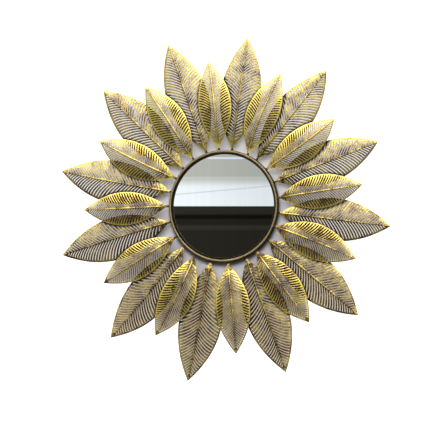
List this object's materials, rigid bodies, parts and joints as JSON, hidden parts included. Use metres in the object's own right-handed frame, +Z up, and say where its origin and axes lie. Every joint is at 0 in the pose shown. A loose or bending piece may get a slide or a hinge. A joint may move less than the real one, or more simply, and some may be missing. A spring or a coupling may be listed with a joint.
{
  "type": "wall mirror",
  "caption": "Round wall mirror in a thin metal ring, framed like a sun by two layers of pierced metal leaves.",
  "frame": {"origin": "middle of the back of the backing board, where it meets the wall", "axes": "+X right seen from the front, +Y into the wall, +Z up; the front looks along -Y"},
  "size_m": [0.7948, 0.0322, 0.801],
  "materials": {
    "leaf_gold": "antique gold over dark brown, brushed brighter on rims, midribs and veins",
    "ring_bronze": "dark bronze with the gold rubbed through on the bead and lip",
    "stem_iron": "dark bronze paint on iron rod, satin",
    "mirror_silver": "clear silvered glass",
    "board_brown": "plain brown fibreboard",
    "plate_steel": "plain zinc plated steel"
  },
  "bodies": {
    "root": {"frame_ring": "ring_bronze", "mirror_glass": "mirror_silver", "backing_board": "board_brown", "hanging_plate": "plate_steel", "large_leaf_01": "leaf_gold", "large_stem_01": "stem_iron", "large_leaf_02": "leaf_gold", "large_stem_02": "stem_iron", "large_leaf_03": "leaf_gold", "large_stem_03": "stem_iron", "large_leaf_04": "leaf_gold", "large_stem_04": "stem_iron", "large_leaf_05": "leaf_gold", "large_stem_05": "stem_iron", "large_leaf_06": "leaf_gold", "large_stem_06": "stem_iron", "large_leaf_07": "leaf_gold", "large_stem_07": "stem_iron", "large_leaf_08": "leaf_gold", "large_stem_08": "stem_iron", "large_leaf_09": "leaf_gold", "large_stem_09": "stem_iron", "large_leaf_10": "leaf_gold", "large_stem_10": "stem_iron", "large_leaf_11": "leaf_gold", "large_stem_11": "stem_iron", "large_leaf_12": "leaf_gold", "large_stem_12": "stem_iron", "small_leaf_01": "leaf_gold", "small_stem_01": "stem_iron", "small_leaf_02": "leaf_gold", "small_stem_02": "stem_iron", "small_leaf_03": "leaf_gold", "small_stem_03": "stem_iron", "small_leaf_04": "leaf_gold", "small_stem_04": "stem_iron", "small_leaf_05": "leaf_gold", "small_stem_05": "stem_iron", "small_leaf_06": "leaf_gold", "small_stem_06": "stem_iron", "small_leaf_07": "leaf_gold", "small_stem_07": "stem_iron", "small_leaf_08": "leaf_gold", "small_stem_08": "stem_iron", "small_leaf_09": "leaf_gold", "small_stem_09": "stem_iron", "small_leaf_10": "leaf_gold", "small_stem_10": "stem_iron", "small_leaf_11": "leaf_gold", "small_stem_11": "stem_iron", "small_leaf_12": "leaf_gold", "small_stem_12": "stem_iron"}
  },
  "joints": []
}
